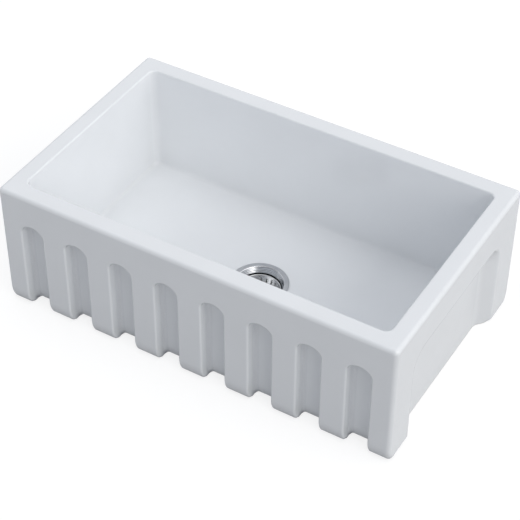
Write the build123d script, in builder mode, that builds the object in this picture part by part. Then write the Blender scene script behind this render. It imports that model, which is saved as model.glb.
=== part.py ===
"""Farmhouse apron front sink in glazed fireclay, with its basket strainer and tailpiece.

Frame: +X to the right along the apron, +Y towards the wall, +Z up. The origin is on the drain's
axis, in the plane of the underside that rests on the cabinet. Millimetres.
"""

import os
from math import asin, atan, degrees

from build123d import *

# --- Basin, overall -------------------------------------------------------------------------------
width = 762.0  # 30 in along the apron
depth = 457.2  # 18 in, apron to wall
height = 254.0  # 10 in
end_wall = 32.6  # rim width at the two ends
side_wall = 34.2  # rim width at the front and the back
floor_thickness = 36.0  # at the drain
floor_fall = 3.0  # from the far corners of the floor to the drain
wall_draft = 0.5  # degrees, the cavity narrows downwards

corner_radius = 8.0  # outline of the two ends: upright corners, foot and lower edge
rim_outer_radius = 7.5
rim_inner_radius = 3.0
cavity_corner_radius = 14.0
cavity_floor_radius = 6.0

# --- Basin, foot of the apron and of the back -----------------------------------------------------
foot_radius = 52.0  # long, flat curve towards the underside
foot_height = 30.0  # where that curve begins
flute_foot_height = 26.0  # the same for the walls of the flutes
foot_edge_radius = 12.0  # short curve that takes over and runs out in the underside
ground_off = 0.4  # taken off the underside at the end, so that it stands flat
flute_mouth_radius = 3.5

# --- Basin, flutes in the apron -------------------------------------------------------------------
flute_count = 8
end_post_width = 41.55  # plain apron at each end of the row
flute_width = 44.0
flute_depth = 23.0
flute_top_gap = 64.0  # plain band above the flutes
flute_arch_rise = 17.0
flute_corner_radius = 7.0

# --- Basin, recess in each end --------------------------------------------------------------------
recess_width = 322.0  # across its mouth
recess_top_gap = 67.0  # plain band above the mouth
recess_depth = 21.5
recess_flare = 24.0  # how far its walls lean in from mouth to floor
recess_arch_radius = 38.0  # upper corners of the mouth
recess_foot_radius = 20.0
recess_mouth_radius = 9.0

# --- Basin, drain hole ----------------------------------------------------------------------------
drain_hole_gap = 0.6  # round the neck of the strainer
drain_seat_sink = 0.5  # ring let into the floor for the flange
drain_seat_margin = 1.5  # round the flange
nut_pocket_diameter = 150.0  # thinned ring under the floor, room for the lock nut
nut_pocket_depth = 12.0

# --- Strainer body --------------------------------------------------------------------------------
flange_width = 9.0  # from the throat to its edge
flange_thickness = 1.4
flange_edge_radius = 1.0
gasket_thickness = 1.1
gasket_inset = 1.5  # from the flange's edge
gasket_bore_gap = 0.5  # from the drain hole's edge
throat_top_diameter = 88.0
throat_lip_radius = 1.5
throat_depth = 12.0
throat_wall = 0.4  # where the throat is thinnest, under the flange
cup_top_diameter = 80.4
ledge_depth = 17.5  # below the flange's top
ledge_width = 2.0
cup_depth = 54.0
cup_wall = 3.6
cup_corner_radius = 9.0
cup_floor_thickness = 3.2
cup_floor_fall = 1.6
outlet_bore_diameter = 39.0
outlet_thread_diameter = 46.4
outlet_length = 24.0
thread_diameter = 86.6
thread_length = 24.0

# --- Clamping parts under the floor ---------------------------------------------------------------
rubber_washer_thickness = 3.2
friction_washer_thickness = 1.0
washer_diameter = 114.0
washer_bore_gap = 0.5
lock_nut_height = 11.0
lock_nut_diameter = 104.0
lock_nut_lip = 5.0  # thickness of its bearing flange
lock_nut_hub_wall = 4.5
lock_nut_lug_count = 6
lock_nut_lug_width = 12.0
lock_nut_lug_reach = 4.0
lock_nut_web_thickness = 4.0  # upright web behind each lug
lock_nut_web_drop = 4.2
lock_nut_chamfer = 0.8
thread_gap = 0.25

# --- Spider across the outlet ---------------------------------------------------------------------
spider_drop = 6.0  # from the cup's outlet edge to its top
spider_thickness = 3.0
spider_arm_width = 3.0
spider_hub_diameter = 10.0
spider_arm_count = 4
spider_seat = 1.0  # step in the outlet that the spider is pressed up against
spider_ring_lip = 0.8  # how far its ring reaches into the bore

# --- Tailpiece and its nut ------------------------------------------------------------------------
tailpiece_diameter = 38.1  # 1-1/2 in drain size
tailpiece_wall = 1.2
tailpiece_length = 100.0
tailpiece_flange_diameter = 45.6
tailpiece_flange_thickness = 1.5
tailpiece_neck_growth = 0.35
tailpiece_neck_length = 6.5
tail_washer_thickness = 2.0
coupling_nut_wall = 3.4
coupling_nut_engagement = 11.0
coupling_nut_lip = 3.4
coupling_nut_rib_count = 8
coupling_nut_rib_width = 5.0
coupling_nut_rib_height = 2.2
nut_gap = 0.3

# --- Basket ---------------------------------------------------------------------------------------
basket_clearance = 0.6  # between its rim and the cup
basket_seat_gap = 0.3  # between its rim and the ledge
basket_rim_radius = 1.1
basket_sheet = 0.8
basket_depth = 22.0
basket_floor_diameter = 58.0
basket_floor_radius = 5.0
basket_slot_count = 22
basket_slot_width = 2.4
basket_slot_top = 5.0  # below the rim's top
basket_slot_length = 11.5
basket_hole_count = 12
basket_hole_diameter = 4.0
basket_hole_circle_diameter = 40.0
basket_inner_hole_count = 8
basket_inner_hole_circle_diameter = 27.0

# --- Stem and stopper -----------------------------------------------------------------------------
stem_diameter = 6.0
stem_fit = 0.05  # running clearance in the bush
bush_diameter = 12.0
bush_head_diameter = 16.0
bush_head_height = 2.0
bush_height = 9.0
bush_tail = 1.4  # swaged out below the basket's floor
bush_chamfer = 1.0
ring_groove_width = 2.2
ring_section = 1.6
seal_diameter = 49.0
seal_thickness = 5.0
seal_edge_taper = 3.0
seal_edge_drop = 2.0
seal_seat_gap = 0.3
seal_plate_diameter = 30.0
seal_plate_thickness = 1.2
seal_washer_diameter = 16.0
seal_nut_across = 10.0
seal_nut_height = 4.5
stem_tail_diameter = 4.6
stem_tail_fit = 0.3
stem_tail_chamfer = 0.8
stem_grip = 6.0  # length inside the knob
stopper_travel = 8.0
tail_engagement = 1.0  # of the stem's tail in the hub when the stopper is up
knob_diameter = 17.0
knob_height = 11.0
knob_neck_diameter = 9.0
knob_neck_height = 3.85
knob_widest_height = 7.5
knob_sink = 6.0  # of its top below the flange's top

overrun = 1.0  # how far a cut or a web runs past the face that it has to reach

os.makedirs("parts", exist_ok=True)


# --- Levels worked out from the sizes above -------------------------------------------------------
floor_level = floor_thickness
drain_seat_level = floor_level - drain_seat_sink
flange_under_level = drain_seat_level + gasket_thickness
flange_top_level = flange_under_level + flange_thickness
pocket_level = nut_pocket_depth
friction_washer_top = pocket_level - rubber_washer_thickness
lock_nut_top = friction_washer_top - friction_washer_thickness
ledge_level = flange_top_level - ledge_depth
cup_floor_level = flange_top_level - cup_depth
cup_under_level = cup_floor_level - cup_floor_fall - cup_floor_thickness
outlet_end_level = cup_under_level - outlet_length
tail_flange_top = outlet_end_level - tail_washer_thickness
tail_flange_under = tail_flange_top - tailpiece_flange_thickness

cavity_half_width = width / 2 - end_wall
cavity_half_depth = depth / 2 - side_wall
cavity_height = height - floor_level

flute_pitch = (width - 2 * end_post_width - flute_width) / (flute_count - 1)
flange_diameter = throat_top_diameter + 2 * flange_width
neck_radius = max(throat_top_diameter / 2 + throat_wall, thread_diameter / 2)
drain_hole_radius = neck_radius + drain_hole_gap


# --- Sink basin: one fireclay casting -------------------------------------------------------------
def foot(wall, rise):
    """Draws a wall's foot down to the unground underside: a long arc, then a short one."""
    drop = rise + ground_off
    turn = degrees(asin((drop - foot_edge_radius) / (foot_radius - foot_edge_radius)))
    long_arc = JernArc((wall, rise), (0, -1), foot_radius, turn)
    return JernArc(long_arc @ 1, long_arc % 1, foot_edge_radius, 90 - turn)


# One flute, as the core that the mould leaves out: an arched channel with soft inner corners,
# whose wall runs out at the foot as the apron's own does.
flute_wall = -depth / 2 + flute_depth
with BuildPart() as flute_core:
    with BuildSketch(Plane.YZ):
        with BuildLine():
            flute_foot = foot(flute_wall, flute_foot_height)
            Polyline(
                flute_foot @ 1,
                flute_foot @ 1 - (0, flute_foot_height),
                (-depth / 2 - flute_depth, -flute_foot_height),
                (-depth / 2 - flute_depth, height - flute_top_gap),
                (flute_wall, height - flute_top_gap),
                (flute_wall, flute_foot_height),
            )
        make_face()
    extrude(amount=flute_width / 2, both=True)
    with BuildSketch(Plane.XZ):
        with Locations((0, height - flute_top_gap - flute_arch_rise)):
            Ellipse(flute_width / 2, flute_arch_rise)
            Rectangle(flute_width, height, align=(Align.CENTER, Align.MAX))
    extrude(amount=depth, both=True, mode=Mode.INTERSECT)
    wall_edges = flute_core.edges().filter_by(
        lambda e: e.center().Y > flute_wall - 0.1
        and e.center().Z > flute_foot_height / 4
        and abs(e.center().Z - flute_foot_height) > 0.1
    )
    fillet(wall_edges, flute_corner_radius)

# The recess in an end, as its core: a tapering arched block with a soft inner corner.
recess_angle = degrees(atan(recess_flare / recess_depth))
with BuildPart() as recess_core:
    with BuildSketch(Plane((width / 2, 0, 0), x_dir=(0, 1, 0), z_dir=(1, 0, 0))) as recess_mouth:
        with Locations((0, -2 * recess_flare)):
            Rectangle(
                recess_width,
                height - recess_top_gap + 2 * recess_flare,
                align=(Align.CENTER, Align.MIN),
            )
        fillet(recess_mouth.vertices().group_by(Axis.Z)[-1], recess_arch_radius)
    extrude(amount=-recess_depth, taper=recess_angle)
    inner_outline = recess_core.faces().sort_by(Axis.X)[0].edges()
    fillet(inner_outline.filter_by(lambda e: e.center().Z > 0), recess_foot_radius)

# The bowl, as its core: drafted walls, and a floor that falls to the drain from all sides.
dish_radius = (cavity_half_width**2 + cavity_half_depth**2) / (2 * floor_fall)
with BuildPart() as bowl_core:
    with BuildSketch(Plane((0, 0, height), x_dir=(1, 0, 0), z_dir=(0, 0, -1))):
        RectangleRounded(2 * cavity_half_width, 2 * cavity_half_depth, cavity_corner_radius)
    extrude(amount=cavity_height, taper=wall_draft)
    # A very large sphere lying on its side, so that its poles and seam stay out of the floor.
    with Locations((0, 0, floor_level + dish_radius)):
        Sphere(dish_radius, rotation=(90, 0, 0), mode=Mode.INTERSECT)
    floor_edges = bowl_core.faces().sort_by(Axis.Z)[0].edges()
    fillet(floor_edges, cavity_floor_radius)

with BuildPart() as sink_basin:
    with BuildSketch(Plane.YZ):
        with BuildLine():
            Polyline((0, height), (-depth / 2, height), (-depth / 2, foot_height))
            apron_foot = foot(-depth / 2, foot_height)
            Line(apron_foot @ 1, (0, -ground_off))
            mirror(about=Plane.YZ)
        make_face()
    extrude(amount=width / 2, both=True)
    corner_edges = sink_basin.edges().filter_by(
        lambda e: abs(abs(e.center().X) - width / 2) < 0.1 and 0.1 < e.center().Z < height - 0.1
    )
    fillet(corner_edges, corner_radius)
    fillet(sink_basin.edges().group_by(Axis.Z)[-1], rim_outer_radius)
    split(bisect_by=Plane.XY)

    with GridLocations(flute_pitch, 0, flute_count, 1):
        add(flute_core.part, mode=Mode.SUBTRACT)
    mouth_edges = sink_basin.edges().filter_by(
        lambda e: e.center().Y < (apron_foot @ 1).X
        and 0.1 < e.center().Z < height - flute_top_gap + 1
        and abs(e.center().X) < flute_pitch * flute_count / 2
    )
    fillet(mouth_edges.filter_by(Axis.X, reverse=True), flute_mouth_radius)

    add(recess_core.part, mode=Mode.SUBTRACT)
    add(mirror(recess_core.part, about=Plane.YZ, mode=Mode.PRIVATE), mode=Mode.SUBTRACT)
    recess_edges = sink_basin.edges().filter_by(
        lambda e: abs(abs(e.center().X) - width / 2) < 0.1
        and abs(e.center().Y) < recess_width / 2 + 1
        and 0.1 < e.center().Z < height - recess_top_gap + 1
    )
    fillet(recess_edges, recess_mouth_radius)

    add(bowl_core.part, mode=Mode.SUBTRACT)
    rim_edges = sink_basin.edges().group_by(Axis.Z)[-1].filter_by(
        lambda e: abs(e.center().X) < cavity_half_width + 1
        and abs(e.center().Y) < cavity_half_depth + 1
    )
    fillet(rim_edges, rim_inner_radius)

    with Locations((0, 0, drain_seat_level)):
        Cylinder(
            flange_diameter / 2 + drain_seat_margin,
            height,
            align=(Align.CENTER, Align.CENTER, Align.MIN),
            mode=Mode.SUBTRACT,
        )
    Cylinder(drain_hole_radius, height, mode=Mode.SUBTRACT)
    Cylinder(
        nut_pocket_diameter / 2,
        nut_pocket_depth,
        align=(Align.CENTER, Align.CENTER, Align.MIN),
        mode=Mode.SUBTRACT,
    )
sink_basin.part.label = "sink_basin"
export_step(sink_basin.part, "parts/sink_basin.step")

# --- Strainer body: brass casting with a flange above the floor and an outlet below ---------------
cup_radius = cup_top_diameter / 2
lower_cup_radius = cup_radius - ledge_width
shell_radius = lower_cup_radius + cup_wall
thread_radius = thread_diameter / 2
thread_top = lock_nut_top + (thread_length - lock_nut_height) / 2
thread_bottom = thread_top - thread_length
outlet_bore = outlet_bore_diameter / 2
outlet_radius = outlet_thread_diameter / 2
mouth_level = cup_floor_level - cup_floor_fall
spider_top = mouth_level - spider_drop
spider_radius = outlet_bore + spider_seat
with BuildPart() as strainer_body:
    with BuildSketch(Plane.XZ):
        with BuildLine():
            Polyline(
                (flange_diameter / 2, flange_under_level),
                (flange_diameter / 2, flange_top_level),
                (throat_top_diameter / 2, flange_top_level),
                (cup_radius, flange_top_level - throat_depth),
                (cup_radius, ledge_level),
                (lower_cup_radius, ledge_level),
                (lower_cup_radius, cup_floor_level),
                (outlet_bore, mouth_level),
                (outlet_bore, spider_top),
                (spider_radius, spider_top),
                (spider_radius, outlet_end_level),
                (outlet_radius, outlet_end_level),
                (outlet_radius, cup_floor_level - cup_floor_thickness - cup_floor_fall),
                (shell_radius, cup_floor_level - cup_floor_thickness),
                (shell_radius, thread_bottom),
                (thread_radius, thread_bottom),
                (thread_radius, thread_top),
                (throat_top_diameter / 2 + throat_wall, flange_under_level),
                close=True,
            )
        make_face()
    revolve(axis=Axis.Z)
    flange_rim = strainer_body.edges().filter_by(GeomType.CIRCLE).filter_by(
        lambda e: abs(e.radius - flange_diameter / 2) < 0.01
    )
    fillet(flange_rim.sort_by(Axis.Z)[-1], flange_edge_radius)
    throat_lip = strainer_body.edges().filter_by(GeomType.CIRCLE).filter_by(
        lambda e: abs(e.radius - throat_top_diameter / 2) < 0.01
    )
    fillet(throat_lip.sort_by(Axis.Z)[-1], throat_lip_radius)
    cup_corner = strainer_body.edges().filter_by(GeomType.CIRCLE).filter_by(
        lambda e: abs(e.radius - lower_cup_radius) < 0.01
        and abs(e.center().Z - cup_floor_level) < 0.01
    )
    fillet(cup_corner, cup_corner_radius)
    shell_corner = strainer_body.edges().filter_by(GeomType.CIRCLE).filter_by(
        lambda e: abs(e.radius - shell_radius) < 0.01
        and abs(e.center().Z - cup_floor_level + cup_floor_thickness) < 0.01
    )
    fillet(shell_corner, cup_corner_radius)
strainer_body.part.label = "strainer_body"
export_step(strainer_body.part, "parts/strainer_body.step")

# --- Gasket between the flange and the floor ------------------------------------------------------
gasket_radius = flange_diameter / 2 - gasket_inset
with BuildPart() as flange_gasket:
    with BuildSketch(Plane.XY.offset(drain_seat_level)):
        Circle(gasket_radius)
        Circle(drain_hole_radius + gasket_bore_gap, mode=Mode.SUBTRACT)
    extrude(amount=gasket_thickness)
flange_gasket.part.label = "flange_gasket"
export_step(flange_gasket.part, "parts/flange_gasket.step")

# --- Rubber washer and slip washer under the floor ------------------------------------------------
washer_bore = thread_radius + washer_bore_gap
with BuildPart() as rubber_washer:
    with BuildSketch(Plane.XY.offset(friction_washer_top)):
        Circle(washer_diameter / 2)
        Circle(washer_bore, mode=Mode.SUBTRACT)
    extrude(amount=rubber_washer_thickness)
rubber_washer.part.label = "rubber_washer"
export_step(rubber_washer.part, "parts/rubber_washer.step")

with BuildPart() as friction_washer:
    with BuildSketch(Plane.XY.offset(lock_nut_top)):
        Circle(washer_diameter / 2)
        Circle(washer_bore, mode=Mode.SUBTRACT)
    extrude(amount=friction_washer_thickness)
friction_washer.part.label = "friction_washer"
export_step(friction_washer.part, "parts/friction_washer.step")

# --- Lock nut with lugs for its wrench ------------------------------------------------------------
nut_bore = thread_radius + thread_gap
nut_hub_radius = nut_bore + lock_nut_hub_wall
with BuildPart() as lock_nut:
    with BuildSketch(Plane.XY.offset(lock_nut_top)):
        Circle(nut_hub_radius)
    extrude(amount=-lock_nut_height)
    with BuildSketch(Plane.XY.offset(lock_nut_top)):
        Circle(lock_nut_diameter / 2)
        with PolarLocations(lock_nut_diameter / 2, lock_nut_lug_count):
            Rectangle(2 * lock_nut_lug_reach, lock_nut_lug_width)
    extrude(amount=-lock_nut_lip)
    with BuildSketch(Plane.XY.offset(lock_nut_top - lock_nut_lip)):
        with PolarLocations((nut_hub_radius + lock_nut_diameter / 2) / 2, lock_nut_lug_count):
            Rectangle(lock_nut_diameter / 2 - nut_hub_radius + 2 * overrun, lock_nut_web_thickness)
    extrude(amount=-lock_nut_web_drop)
    with BuildSketch(Plane.XY.offset(lock_nut_top)):
        Circle(nut_bore)
    extrude(amount=-lock_nut_height, mode=Mode.SUBTRACT)
    chamfer(lock_nut.faces().sort_by(Axis.Z)[0].edges(), lock_nut_chamfer)
lock_nut.part.label = "lock_nut"
export_step(lock_nut.part, "parts/lock_nut.step")

# --- Guide spider, pressed up against the shoulder in the outlet ----------------------------------
stem_tail_radius = stem_tail_diameter / 2
with BuildPart() as guide_spider:
    with BuildSketch(Plane.XY.offset(spider_top)):
        Circle(spider_radius)
        Circle(outlet_bore - spider_ring_lip, mode=Mode.SUBTRACT)
        with PolarLocations(outlet_bore / 2, spider_arm_count):
            Rectangle(outlet_bore, spider_arm_width)
        Circle(spider_hub_diameter / 2)
        Circle(stem_tail_radius + stem_tail_fit, mode=Mode.SUBTRACT)
    extrude(amount=-spider_thickness)
guide_spider.part.label = "guide_spider"
export_step(guide_spider.part, "parts/guide_spider.step")

# --- Tailpiece, its washer and its coupling nut ---------------------------------------------------
tail_radius = tailpiece_diameter / 2
tail_bore = tail_radius - tailpiece_wall
tail_neck_radius = tail_radius + tailpiece_neck_growth
neck_end_level = tail_flange_under - tailpiece_neck_length
tail_end_level = tail_flange_top - tailpiece_length
with BuildPart() as tailpiece_washer:
    with BuildSketch(Plane.XY.offset(tail_flange_top)):
        Circle(tailpiece_flange_diameter / 2)
        Circle(tail_bore, mode=Mode.SUBTRACT)
    extrude(amount=tail_washer_thickness)
tailpiece_washer.part.label = "tailpiece_washer"
export_step(tailpiece_washer.part, "parts/tailpiece_washer.step")

with BuildPart() as tailpiece:
    with BuildSketch(Plane.XZ):
        with BuildLine():
            Polyline(
                (tail_bore, tail_flange_top),
                (tailpiece_flange_diameter / 2, tail_flange_top),
                (tailpiece_flange_diameter / 2, tail_flange_under),
                (tail_neck_radius, tail_flange_under),
                (tail_neck_radius, neck_end_level + tailpiece_neck_growth),
                (tail_radius, neck_end_level),
                (tail_radius, tail_end_level),
                (tail_bore, tail_end_level),
                close=True,
            )
        make_face()
    revolve(axis=Axis.Z)
tailpiece.part.label = "tailpiece"
export_step(tailpiece.part, "parts/tailpiece.step")

coupling_bore = outlet_radius + nut_gap
coupling_radius = coupling_bore + coupling_nut_wall
coupling_top = outlet_end_level + coupling_nut_engagement
coupling_bottom = tail_flange_under - coupling_nut_lip
with BuildPart() as coupling_nut:
    with BuildSketch(Plane.XY.offset(coupling_bottom)):
        Circle(coupling_radius)
        with PolarLocations(coupling_radius, coupling_nut_rib_count):
            Rectangle(2 * coupling_nut_rib_height, coupling_nut_rib_width)
    extrude(amount=coupling_top - coupling_bottom)
    with BuildSketch(Plane.XY.offset(coupling_top)):
        Circle(coupling_bore)
    extrude(amount=tail_flange_under - coupling_top, mode=Mode.SUBTRACT)
    with BuildSketch(Plane.XY.offset(tail_flange_under)):
        Circle(tail_neck_radius + nut_gap)
    extrude(amount=-coupling_nut_lip, mode=Mode.SUBTRACT)
coupling_nut.part.label = "coupling_nut"
export_step(coupling_nut.part, "parts/coupling_nut.step")

# --- Basket: pressed sheet with a rolled rim, slots round its wall and holes in its floor ---------
basket_rim_circle = cup_radius - basket_clearance - basket_rim_radius
rim_level = ledge_level + basket_seat_gap + basket_rim_radius
basket_top_level = rim_level + basket_rim_radius
basket_floor_level = basket_top_level - basket_depth
basket_under_level = basket_floor_level - basket_sheet
bush_radius = bush_diameter / 2
slot_middle = basket_top_level - basket_slot_top - basket_slot_length / 2
with BuildPart() as basket:
    with BuildSketch(Plane.XZ):
        with BuildLine() as basket_line:
            Polyline(
                (basket_rim_circle - basket_rim_radius + basket_sheet / 2, rim_level),
                (basket_floor_diameter / 2, basket_floor_level - basket_sheet / 2),
                (bush_radius, basket_floor_level - basket_sheet / 2),
            )
            fillet(basket_line.vertices().sort_by(Axis.X)[1], basket_floor_radius)
        trace(line_width=basket_sheet)
        Rectangle(2 * bush_radius, 4 * basket_depth, mode=Mode.SUBTRACT)
        with Locations((basket_rim_circle, rim_level)):
            Circle(basket_rim_radius)
    revolve(axis=Axis.Z)
    with PolarLocations(basket_floor_diameter / 2 + basket_sheet, basket_slot_count):
        with Locations((0, 0, slot_middle)):
            Box(basket_floor_diameter / 4, basket_slot_width, basket_slot_length, mode=Mode.SUBTRACT)
    with BuildSketch(Plane.XY.offset(basket_under_level - overrun)):
        with PolarLocations(basket_hole_circle_diameter / 2, basket_hole_count):
            Circle(basket_hole_diameter / 2)
        with PolarLocations(basket_inner_hole_circle_diameter / 2, basket_inner_hole_count):
            Circle(basket_hole_diameter / 2)
    extrude(amount=basket_sheet + 2 * overrun, mode=Mode.SUBTRACT)
basket.part.label = "basket"
export_step(basket.part, "parts/basket.step")

# --- Bush swaged into the basket's floor, with a groove for the ring that grips the stem ----------
stem_radius = stem_diameter / 2
bush_bore = stem_radius + stem_fit
bush_top = basket_floor_level + bush_height
bush_bottom = basket_under_level - bush_tail
ring_level = bush_top - bush_head_height - ring_groove_width / 2
ring_radius = bush_bore + ring_section / 2
with BuildPart() as basket_bush:
    with BuildSketch(Plane.XZ):
        with BuildLine():
            Polyline(
                (bush_bore, bush_bottom),
                (bush_head_diameter / 2, bush_bottom),
                (bush_head_diameter / 2, basket_under_level),
                (bush_radius, basket_under_level),
                (bush_radius, basket_floor_level),
                (bush_head_diameter / 2, basket_floor_level),
                (bush_head_diameter / 2, basket_floor_level + bush_head_height),
                (bush_radius, basket_floor_level + bush_head_height),
                (bush_radius, bush_top - bush_chamfer),
                (bush_radius - bush_chamfer, bush_top),
                (bush_bore, bush_top),
                (bush_bore, ring_level + ring_groove_width / 2),
                (ring_radius + ring_section / 2, ring_level + ring_groove_width / 2),
                (ring_radius + ring_section / 2, ring_level - ring_groove_width / 2),
                (bush_bore, ring_level - ring_groove_width / 2),
                close=True,
            )
        make_face()
    revolve(axis=Axis.Z)
basket_bush.part.label = "basket_bush"
export_step(basket_bush.part, "parts/basket_bush.step")

with BuildPart() as stem_ring:
    with BuildSketch(Plane.XZ):
        with Locations((ring_radius, ring_level)):
            Circle(ring_section / 2)
    revolve(axis=Axis.Z)
stem_ring.part.label = "stem_ring"
export_step(stem_ring.part, "parts/stem_ring.step")

# --- Stopper: stem, knob, seal between two plates, nut --------------------------------------------
seal_radius = seal_diameter / 2
seal_under_level = mouth_level + seal_seat_gap
seal_top_level = seal_under_level + seal_thickness
plate_top_level = seal_top_level + seal_plate_thickness
seal_nut_top = seal_under_level - seal_plate_thickness
stem_end_level = spider_top - tail_engagement - stopper_travel
knob_top_level = flange_top_level - knob_sink
knob_under_level = knob_top_level - knob_height
stem_top_level = knob_under_level + stem_grip
floor_slope = cup_floor_fall / (lower_cup_radius - outlet_bore)
with BuildPart() as stopper_stem:
    with BuildSketch(Plane.XZ):
        with BuildLine():
            Polyline(
                (0, stem_top_level),
                (stem_radius, stem_top_level),
                (stem_radius, plate_top_level),
                (stem_tail_radius, plate_top_level),
                (stem_tail_radius, stem_end_level + stem_tail_chamfer),
                (stem_tail_radius - stem_tail_chamfer, stem_end_level),
                (0, stem_end_level),
                close=True,
            )
        make_face()
    revolve(axis=Axis.Z)
stopper_stem.part.label = "stopper_stem"
export_step(stopper_stem.part, "parts/stopper_stem.step")

with BuildPart() as stopper_knob:
    with BuildSketch(Plane.XZ):
        with BuildLine():
            knob_side = Polyline(
                (0, stem_top_level),
                (stem_radius, stem_top_level),
                (stem_radius, knob_under_level),
                (knob_neck_diameter / 2, knob_under_level),
                (knob_neck_diameter / 2, knob_under_level + knob_neck_height),
            )
            Spline(
                knob_side @ 1,
                (knob_diameter / 2, knob_under_level + knob_widest_height),
                (0, knob_top_level),
                tangents=[(0.2, 1), (-1, 0)],
            )
            Line((0, knob_top_level), (0, stem_top_level))
        make_face()
    revolve(axis=Axis.Z)
stopper_knob.part.label = "stopper_knob"
export_step(stopper_knob.part, "parts/stopper_knob.step")

with BuildPart() as stopper_seal:
    with BuildSketch(Plane.XZ):
        with BuildLine():
            Polyline(
                (stem_tail_radius, seal_under_level),
                (outlet_bore, seal_under_level),
                (seal_radius, seal_under_level + (seal_radius - outlet_bore) * floor_slope),
                (seal_radius, seal_top_level - seal_edge_drop),
                (seal_radius - seal_edge_taper, seal_top_level),
                (stem_tail_radius, seal_top_level),
                close=True,
            )
        make_face()
    revolve(axis=Axis.Z)
stopper_seal.part.label = "stopper_seal"
export_step(stopper_seal.part, "parts/stopper_seal.step")

with BuildPart() as seal_plate:
    with BuildSketch(Plane.XY.offset(seal_top_level)):
        Circle(seal_plate_diameter / 2)
        Circle(stem_tail_radius, mode=Mode.SUBTRACT)
    extrude(amount=seal_plate_thickness)
seal_plate.part.label = "seal_plate"
export_step(seal_plate.part, "parts/seal_plate.step")

with BuildPart() as seal_washer:
    with BuildSketch(Plane.XY.offset(seal_nut_top)):
        Circle(seal_washer_diameter / 2)
        Circle(stem_tail_radius, mode=Mode.SUBTRACT)
    extrude(amount=seal_plate_thickness)
seal_washer.part.label = "seal_washer"
export_step(seal_washer.part, "parts/seal_washer.step")

with BuildPart() as seal_nut:
    with BuildSketch(Plane.XY.offset(seal_nut_top)):
        RegularPolygon(seal_nut_across / 2, 6, major_radius=False)
        Circle(stem_tail_radius, mode=Mode.SUBTRACT)
    extrude(amount=-seal_nut_height)
seal_nut.part.label = "seal_nut"
export_step(seal_nut.part, "parts/seal_nut.step")
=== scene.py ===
"""Looks of the farmhouse apron front sink: glaze, metal, rubber, studio light and camera."""

import math

import bpy
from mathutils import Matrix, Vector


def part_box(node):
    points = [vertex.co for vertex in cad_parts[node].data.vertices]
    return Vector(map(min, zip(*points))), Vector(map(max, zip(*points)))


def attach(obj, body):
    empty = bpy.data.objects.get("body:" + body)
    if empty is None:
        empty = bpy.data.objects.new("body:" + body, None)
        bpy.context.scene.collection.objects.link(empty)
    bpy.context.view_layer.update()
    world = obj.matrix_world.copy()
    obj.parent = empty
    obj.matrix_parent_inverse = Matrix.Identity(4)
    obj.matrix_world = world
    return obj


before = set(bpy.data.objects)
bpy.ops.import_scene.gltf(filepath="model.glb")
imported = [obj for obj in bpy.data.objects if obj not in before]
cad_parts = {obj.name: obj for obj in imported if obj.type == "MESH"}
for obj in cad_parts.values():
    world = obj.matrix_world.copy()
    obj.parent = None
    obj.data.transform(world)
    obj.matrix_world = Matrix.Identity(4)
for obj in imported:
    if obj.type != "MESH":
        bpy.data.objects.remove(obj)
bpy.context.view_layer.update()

# --- Camera, solved from the casting's edges in the photograph ------------------------------------
PHOTO_PIXELS = 520
FOCAL_PIXELS = 1633.4
SENSOR_MM = 36.0
CAMERA_PLACE = (1.0909, -1.8374, 2.0116)  # metres
CAMERA_TURN = (48.0671, -0.3121, 30.9583)  # degrees

# --- Light ----------------------------------------------------------------------------------------
FILL_LIGHT = 0.56  # the pale room all round, where 1 is white
FILL_COLOUR = (0.945, 0.982, 1.055, 1.0)
LAMP_COLOUR = (1.0, 0.98, 0.945)
SOFTBOX_ANGLE = 40.0  # as wide as each looks from the sink, in degrees
DARK_SIDE = (-0.18, -0.86, 0.47)  # towards the unlit end of the room, behind the camera
DARK_SIDE_EDGE = (0.45, 0.85)  # cosines from there at which the dark begins and is full
DARK_SIDE_LIGHT = 0.02
WHITE = (1.0, 1.0, 1.0, 1.0)

# --- Floor, in metres -----------------------------------------------------------------------------
# Its tone and its glow as other light, the eye and reflections find them.
FLOOR_TONE = (0.3, 0.3, 0.86)
FLOOR_GLOW = (0.0, 0.78, 0.05)
FLOOR_REACH = 8.0
FLOOR_HOLE_RADIUS = 0.075  # the pocket round the drain
FLOOR_HOLE_CORNERS = 96
FLOOR_DROP = 0.0004  # a hair's breadth, so that the floor and the underside stay two faces

# --- Casting, in metres ---------------------------------------------------------------------------
APRON_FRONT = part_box("sink_basin")[0][1]
APRON_BACK = APRON_FRONT + 0.026  # just behind the flutes
CORNER_SHADE_REACH = 0.014  # painted shade: in the flutes the glaze is painted greyer this near to a corner
UNDERSIDE_MARGIN = 0.001  # below the underside, where nothing is left
BARE_CLAY_HEIGHT = 0.0004  # the glaze stops just above the underside

# --- Strainer, in metres --------------------------------------------------------------------------
FLANGE_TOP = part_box("strainer_body")[1][2]
FLANGE_MARGIN = 0.001
THROAT_RADIUS = 0.0442  # the throat's bright finish ends here, at the flange
THROAT_END = FLANGE_TOP - 0.0121
LEDGE = FLANGE_TOP - 0.0176
SHADED_GROOVE_RADIUS = 0.0407  # painted shade: a dark ring painted on the steel between the basket's rim and the throat
THROAT_STEP = 0.0027  # between the rings spun into the throat
THROAT_STEP_HEIGHT = 0.0010

THREAD_PITCH = 0.0022
THREAD_RIDGE = 0.0011  # from the ridge's middle to its crest
THREAD_SINK = 0.0004  # its middle lies this far inside the steel
STEPS_PER_TURN = 64
NECK_RADIUS = 0.0433
NECK_THREAD_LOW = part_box("lock_nut")[0][2] - 0.0059
OUTLET_RADIUS = 0.0232
OUTLET_THREAD_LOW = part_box("coupling_nut")[1][2] + 0.001


# --- Helpers --------------------------------------------------------------------------------------
def linear(red, green, blue):
    """An 8-bit sRGB colour as the linear colour a shader takes."""

    def one(value):
        share = value / 255
        return share / 12.92 if share <= 0.04045 else ((share + 0.055) / 1.055) ** 2.4

    return (one(red), one(green), one(blue), 1.0)


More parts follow.
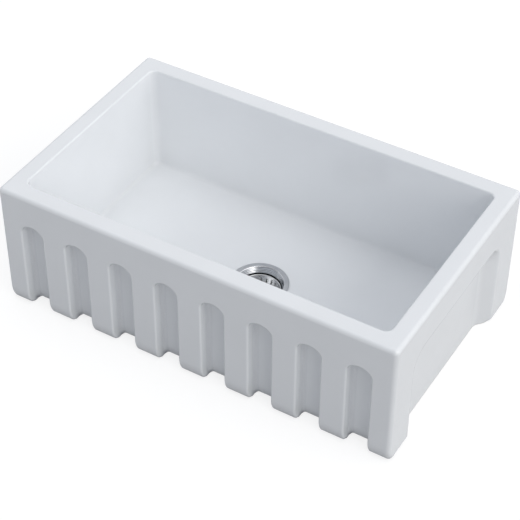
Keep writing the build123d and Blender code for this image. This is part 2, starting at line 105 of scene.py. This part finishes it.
def scaled(colour, share):
    return tuple(part * share for part in colour[:3]) + (1.0,)


class NodeTree:
    """A node tree, with short calls for adding and joining its nodes."""

    def __init__(self, tree):
        self.tree = tree

    def add(self, kind, inputs=None, **settings):
        node = self.tree.nodes.new("ShaderNode" + kind)
        for key, value in settings.items():
            setattr(node, key, value)
        for key, value in (inputs or {}).items():
            self.feed(node.inputs[key], value)
        return node

    def feed(self, socket, value):
        """Set an input, or link it when value is another node's output."""
        if isinstance(value, bpy.types.NodeSocket):
            self.tree.links.new(value, socket)
        else:
            socket.default_value = value

    def math(self, operation, *values):
        return self.add("Math", dict(enumerate(values)), operation=operation).outputs[0]

    def ray_kinds(self):
        """Whether a ray comes straight from the eye, and whether by a reflection or through glass."""
        path = self.add("LightPath").outputs
        mirrored = self.math("MAXIMUM", path["Is Glossy Ray"], path["Is Transmission Ray"])
        return path["Is Camera Ray"], mirrored


class Finish(NodeTree):
    """A new material, with patterns that follow the piece's own coordinates, in metres."""

    def __init__(self, name):
        self.material = bpy.data.materials.new(name)
        self.material.use_nodes = True
        super().__init__(self.material.node_tree)
        self.shader = self.tree.nodes["Principled BSDF"]
        self.place = self.add("TexCoord").outputs["Object"]

    def principled(self, **inputs):
        for key, value in inputs.items():
            self.feed(self.shader.inputs[key.replace("_", " ")], value)

    def noise(self, scale, detail=3.0, roughness=0.5, stretch=(1, 1, 1)):
        mapping = self.add("Mapping", {"Vector": self.place, "Scale": stretch})
        pattern = {
            "Vector": mapping.outputs["Vector"],
            "Scale": scale,
            "Detail": detail,
            "Roughness": roughness,
        }
        return self.add("TexNoise", pattern).outputs["Fac"]

    def ramp(self, fac, low, high, start=0.35, stop=0.65):
        """A value or a colour that goes from low to high with fac."""
        if isinstance(low, tuple):
            node = self.add("ValToRGB", {"Fac": fac})
            ends = node.color_ramp.elements
            ends[0].position, ends[0].color = start, low
            ends[1].position, ends[1].color = stop, high
            return node.outputs["Color"]
        limits = {"From Min": start, "From Max": stop, "To Min": low, "To Max": high}
        return self.add("MapRange", {"Value": fac, **limits}).outputs["Result"]

    def blend(self, share, first, second, kind="RGBA"):
        """The first value, colour or normal where share is 0, and the second where it is 1."""
        node = self.add("Mix", data_type=kind)
        sockets = [socket for socket in node.inputs if socket.enabled]
        for socket, value in zip(sockets, (share, first, second)):
            self.feed(socket, value)
        return next(socket for socket in node.outputs if socket.enabled)

    def along(self, axis):
        return self.add("SeparateXYZ", {0: self.place}).outputs[axis]

    def between(self, low, high):
        """1 where the place lies between two heights, otherwise 0."""
        height = self.along("Z")
        over = self.math("GREATER_THAN", height, low)
        under = self.math("LESS_THAN", height, high)
        return self.math("MULTIPLY", over, under)

    def radius(self):
        """Distance from the drain's axis."""
        flat = self.add("VectorMath", {0: self.place, 1: (1, 1, 0)}, operation="MULTIPLY")
        return self.add("VectorMath", {0: flat.outputs[0]}, operation="LENGTH").outputs["Value"]

    def saw(self, step):
        """Climbs from 0 to 1 over each step downwards, then drops back."""
        return self.math("FRACT", self.math("MULTIPLY", self.along("Z"), -1.0 / step))

    def bump(self, height, distance, strength=1.0, normal=None):
        node = self.add("Bump", {"Height": height, "Distance": distance, "Strength": strength})
        if normal is not None:
            self.feed(node.inputs["Normal"], normal)
        return node.outputs["Normal"]


def dress(material, *nodes):
    """Give CAD nodes a material."""
    for name in nodes:
        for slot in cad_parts[name].material_slots:
            slot.material = material


# --- Finishes -------------------------------------------------------------------------------------
def glaze():
    """Fireclay under a thick, cool white glaze, wiped off the underside before firing."""
    m = Finish("glaze")
    mottle = m.noise(scale=9, detail=4)
    # Painted shade: in the apron's flutes the glaze is painted grey where ambient occlusion finds a
    # corner, standing in for shade in the creases.
    corner_shade_colour = m.ramp(mottle, linear(158, 162, 172), linear(164, 168, 178))
    open_face = m.ramp(mottle, linear(240, 242, 244), linear(242, 244, 246))
    openness = m.add("AmbientOcclusion", {"Distance": CORNER_SHADE_REACH}, samples=8).outputs["AO"]
    apron = m.math("GREATER_THAN", APRON_BACK, m.along("Y"))
    corner_shade = m.math("MULTIPLY", apron, m.ramp(openness, 1.0, 0.0, start=0.3, stop=0.85))
    glaze_and_corner_shade = m.blend(corner_shade, open_face, corner_shade_colour)

    grog = m.noise(scale=700, detail=4, roughness=0.7)
    clay = m.ramp(grog, linear(196, 186, 170), linear(226, 218, 204))
    bare = m.between(-UNDERSIDE_MARGIN, BARE_CLAY_HEIGHT)

    flow = m.bump(m.noise(scale=14, detail=2), distance=0.0012, strength=0.25)
    skin = m.bump(m.noise(scale=420, detail=2), distance=0.00006, strength=0.3, normal=flow)
    grain = m.bump(m.noise(scale=1800), distance=0.0001, strength=0.5, normal=skin)
    shine = m.ramp(m.noise(scale=60), 0.04, 0.07)
    m.principled(
        Base_Color=m.blend(bare, glaze_and_corner_shade, clay),
        Roughness=m.blend(bare, shine, 0.75, kind="FLOAT"),
        IOR=1.55,
        Normal=m.blend(bare, skin, grain, kind="VECTOR"),
    )
    return m.material


def strainer_steel():
    """Stainless steel: a satin flange, a stepped throat that is spun bright with painted shade on its
    rings, and painted shade in the groove.
    """
    m = Finish("strainer_steel")
    radius = m.radius()
    flange = m.math("GREATER_THAN", radius, THROAT_RADIUS)
    throat = m.between(THROAT_END, FLANGE_TOP + FLANGE_MARGIN)
    inside = m.math("GREATER_THAN", SHADED_GROOVE_RADIUS, radius)
    # Painted shade: the groove above the basket's rim is painted nearly black, standing in for the
    # shadowed gap there.
    groove_painted_shade = m.math("MULTIPLY", m.between(LEDGE, THROAT_END), inside)

    stain = m.noise(scale=60, detail=4)
    satin = m.ramp(stain, linear(186, 188, 193), linear(196, 198, 202))
    bright = m.ramp(stain, linear(200, 202, 206), linear(216, 218, 222))
    rings = m.saw(THROAT_STEP)
    # Painted shade: each ring in the throat is painted darker towards its lower edge, standing in for
    # the shade of the step.
    rings_painted_shade = m.ramp(rings, linear(218, 220, 224), linear(104, 106, 111), start=0.5, stop=0.9)
    throat_with_painted_ring_shade = m.blend(throat, bright, rings_painted_shade)
    steel_before_groove_shade = m.blend(flange, throat_with_painted_ring_shade, satin)

    spun = m.noise(scale=1, detail=2, roughness=0.6, stretch=(1, 1, 2600))
    steps = m.bump(m.math("MULTIPLY", rings, throat), distance=THROAT_STEP_HEIGHT)
    m.principled(
        Base_Color=m.blend(groove_painted_shade, steel_before_groove_shade, linear(46, 47, 50)),
        Metallic=1.0,
        Roughness=m.blend(
            flange, m.ramp(spun, 0.20, 0.30), m.ramp(spun, 0.22, 0.34), kind="FLOAT"
        ),
        Normal=m.bump(spun, distance=0.00002, strength=0.5, normal=steps),
    )
    return m.material


def metal(name, colour, roughness, grain_scale=900, stretch=(1, 1, 6), grain_depth=0.00002):
    """Metal with a fine grain along one direction and a little stain."""
    m = Finish(name)
    grain = m.noise(grain_scale, detail=2, roughness=0.6, stretch=stretch)
    m.principled(
        Base_Color=m.ramp(m.noise(scale=40, detail=4), scaled(colour, 0.84), colour),
        Metallic=1.0,
        Roughness=m.ramp(grain, *roughness),
        Normal=m.bump(grain, grain_depth, strength=0.4),
    )
    return m.material


def rubber(name, colour, grit_scale=1500, grit_depth=0.00005):
    """Dull rubber or foam with grit and a pale bloom."""
    m = Finish(name)
    grit = m.noise(grit_scale)
    m.principled(
        Base_Color=m.ramp(m.noise(scale=80), colour, scaled(colour, 1.5)),
        Roughness=m.ramp(grit, 0.55, 0.75),
        Normal=m.bump(grit, grit_depth, strength=0.4),
    )
    return m.material


def fibreboard():
    """Pressed brown fibre with long pale strands."""
    m = Finish("fibreboard")
    strands = m.noise(scale=260, detail=5, roughness=0.7, stretch=(1, 5, 1))
    m.principled(
        Base_Color=m.ramp(strands, linear(128, 98, 66), linear(188, 160, 122)),
        Roughness=0.85,
        Normal=m.bump(strands, distance=0.0001, strength=0.6),
    )
    return m.material


def white_plastic():
    """Moulded white plastic, a little uneven in its shine."""
    m = Finish("white_plastic")
    m.principled(
        Base_Color=m.ramp(m.noise(scale=50), linear(222, 222, 216), linear(232, 232, 228)),
        Roughness=m.ramp(m.noise(scale=500, detail=2), 0.3, 0.42),
        Normal=m.bump(m.noise(scale=900, detail=2), distance=0.00003, strength=0.3),
    )
    return m.material


steel = strainer_steel()
pressed_steel = metal("pressed_steel", linear(216, 218, 221), roughness=(0.16, 0.28))
turned_steel = metal(
    "turned_steel",
    linear(214, 216, 219),
    roughness=(0.12, 0.20),
    grain_scale=700,
    stretch=(1, 1, 9),
)
turned_brass = metal(
    "turned_brass",
    linear(214, 184, 120),
    roughness=(0.18, 0.28),
    grain_scale=700,
    stretch=(1, 1, 9),
)
cast_brass = metal(
    "cast_brass",
    linear(206, 174, 110),
    roughness=(0.30, 0.48),
    grain_scale=1300,
    stretch=(1, 1, 1),
    grain_depth=0.00012,
)
chrome = metal("chrome", linear(226, 227, 230), roughness=(0.04, 0.09))
black_rubber = rubber("black_rubber", linear(34, 34, 36))
foam = rubber("foam", linear(56, 56, 58), grit_scale=900, grit_depth=0.0003)

dress(glaze(), "sink_basin")
dress(steel, "strainer_body")
dress(pressed_steel, "basket", "seal_plate")
dress(turned_steel, "stopper_stem", "seal_washer", "seal_nut")
dress(chrome, "stopper_knob", "tailpiece", "coupling_nut")
dress(cast_brass, "lock_nut", "guide_spider")
dress(turned_brass, "basket_bush")
dress(black_rubber, "rubber_washer", "stem_ring", "stopper_seal")
dress(foam, "flange_gasket")
dress(fibreboard(), "friction_washer")
dress(white_plastic(), "tailpiece_washer")


# --- Threads that show below the nuts -------------------------------------------------------------
def thread(name, radius, low, turns):
    """A helical ridge on the strainer, sunk into it, rising from low."""
    bpy.ops.object.select_all(action="DESELECT")
    bpy.ops.mesh.primitive_circle_add(
        vertices=3,
        radius=THREAD_RIDGE,
        fill_type="NOTHING",
        location=(radius - THREAD_SINK, 0, low),
        rotation=(math.pi / 2, math.pi / 2, 0),  # upright, with its crest outwards
    )
    ridge = bpy.context.object
    ridge.name = name
    bpy.ops.object.transform_apply(location=True, rotation=True, scale=True)

    bpy.ops.object.modifier_add(type="SCREW")
    screw = ridge.modifiers[0]
    screw.angle = 2 * math.pi * turns
    screw.screw_offset = THREAD_PITCH * turns
    screw.steps = int(STEPS_PER_TURN * turns)
    screw.render_steps = screw.steps
    bpy.ops.object.modifier_apply(modifier=screw.name)

    bpy.ops.object.mode_set(mode="EDIT")
    bpy.ops.mesh.select_all(action="DESELECT")
    bpy.ops.mesh.select_mode(type="EDGE")
    bpy.ops.mesh.select_non_manifold()  # the ridge's two open ends
    bpy.ops.mesh.fill_holes(sides=3)
    bpy.ops.mesh.select_all(action="SELECT")
    bpy.ops.mesh.normals_make_consistent(inside=False)
    bpy.ops.object.mode_set(mode="OBJECT")

    ridge.data.materials.append(steel)
    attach(ridge, "sink")


thread("neck_thread", NECK_RADIUS, NECK_THREAD_LOW, turns=2.25)
thread("outlet_thread", OUTLET_RADIUS, OUTLET_THREAD_LOW, turns=4.5)


# --- Stage ----------------------------------------------------------------------------------------
def floor_finish():
    """White to the eye, with a pale shadow, and duller to all other light."""
    material = bpy.data.materials.new("floor")
    material.use_nodes = True
    t = NodeTree(material.node_tree)
    t.tree.nodes.remove(t.tree.nodes["Principled BSDF"])
    eye, mirrored = t.ray_kinds()

    def by_ray(other, seen, in_mirror):
        """A value that is different for the eye, for reflections and for all other light."""
        direct = t.math("MULTIPLY_ADD", eye, seen - other, other)
        return t.math("MULTIPLY_ADD", mirrored, in_mirror - other, direct)

    paint = t.add("BsdfDiffuse", {"Color": by_ray(*FLOOR_TONE)})
    glow = t.add("Emission", {"Color": WHITE, "Strength": by_ray(*FLOOR_GLOW)})
    lit = t.add("AddShader", {0: paint.outputs[0], 1: glow.outputs[0]})
    t.feed(t.tree.nodes["Material Output"].inputs["Surface"], lit.outputs[0])
    return material


def floor():
    """A large floor with a round hole, which the drain hangs through."""
    bpy.ops.object.select_all(action="DESELECT")
    bpy.ops.mesh.primitive_circle_add(
        vertices=FLOOR_HOLE_CORNERS,
        radius=FLOOR_HOLE_RADIUS,
        fill_type="NOTHING",
        location=(0, 0, -FLOOR_DROP),
    )
    plane = bpy.context.object
    plane.name = "floor"
    bpy.ops.object.mode_set(mode="EDIT")
    bpy.ops.mesh.select_all(action="SELECT")
    bpy.ops.mesh.extrude_region_move()
    bpy.ops.transform.resize(value=(FLOOR_REACH / FLOOR_HOLE_RADIUS,) * 3)
    bpy.ops.object.mode_set(mode="OBJECT")
    plane.data.materials.append(floor_finish())


def room():
    """A pale, slightly cool room, white where it is seen, and dark on the side of the camera."""
    world = bpy.data.worlds.new("room")
    world.use_nodes = True
    t = NodeTree(world.node_tree)
    t.tree.nodes.remove(t.tree.nodes["Background"])
    eye, mirrored = t.ray_kinds()

    direction = t.add("TexCoord").outputs["Generated"]
    facing = t.add("VectorMath", {0: direction, 1: DARK_SIDE}, operation="DOT_PRODUCT")
    start, stop = DARK_SIDE_EDGE
    limits = {"From Min": start, "From Max": stop, "To Min": 1.0, "To Max": DARK_SIDE_LIGHT}
    dark = t.add(
        "MapRange", {"Value": facing.outputs["Value"], **limits}, interpolation_type="SMOOTHSTEP"
    )
    in_mirror = t.math("MULTIPLY", mirrored, dark.outputs[0])
    seen_light = t.math("ADD", eye, in_mirror)

    fill = t.add("Background", {"Color": FILL_COLOUR, "Strength": FILL_LIGHT})
    seen = t.add("Background", {"Color": WHITE, "Strength": seen_light})
    seen_rays = t.math("MAXIMUM", eye, mirrored)
    mix = t.add("MixShader", {0: seen_rays, 1: fill.outputs[0], 2: seen.outputs[0]})
    t.feed(t.tree.nodes["World Output"].inputs["Surface"], mix.outputs[0])
    bpy.context.scene.world = world


def softbox(name, azimuth, height, strength):
    """A large soft lamp, far off at that azimuth from the right end and that height, in degrees."""
    data = bpy.data.lights.new(name, "SUN")
    data.energy = strength
    data.angle = math.radians(SOFTBOX_ANGLE)
    data.color = LAMP_COLOUR
    lamp = bpy.data.objects.new(name, data)
    bpy.context.scene.collection.objects.link(lamp)
    lamp.rotation_euler = (0, math.radians(90 - height), math.radians(azimuth))


def camera():
    """The photograph's own camera."""
    data = bpy.data.cameras.new("camera")
    data.sensor_width = SENSOR_MM
    data.lens = FOCAL_PIXELS / PHOTO_PIXELS * SENSOR_MM
    stand = bpy.data.objects.new("camera", data)
    bpy.context.scene.collection.objects.link(stand)
    stand.location = CAMERA_PLACE
    stand.rotation_euler = [math.radians(angle) for angle in CAMERA_TURN]
    bpy.context.scene.camera = stand


floor()
room()
softbox("front_side", azimuth=-22.5, height=30, strength=0.84)
softbox("back_side", azimuth=22.5, height=30, strength=0.48)
softbox("overhead", azimuth=0, height=88, strength=0.32)
camera()
bpy.context.scene.view_settings.view_transform = "Standard"
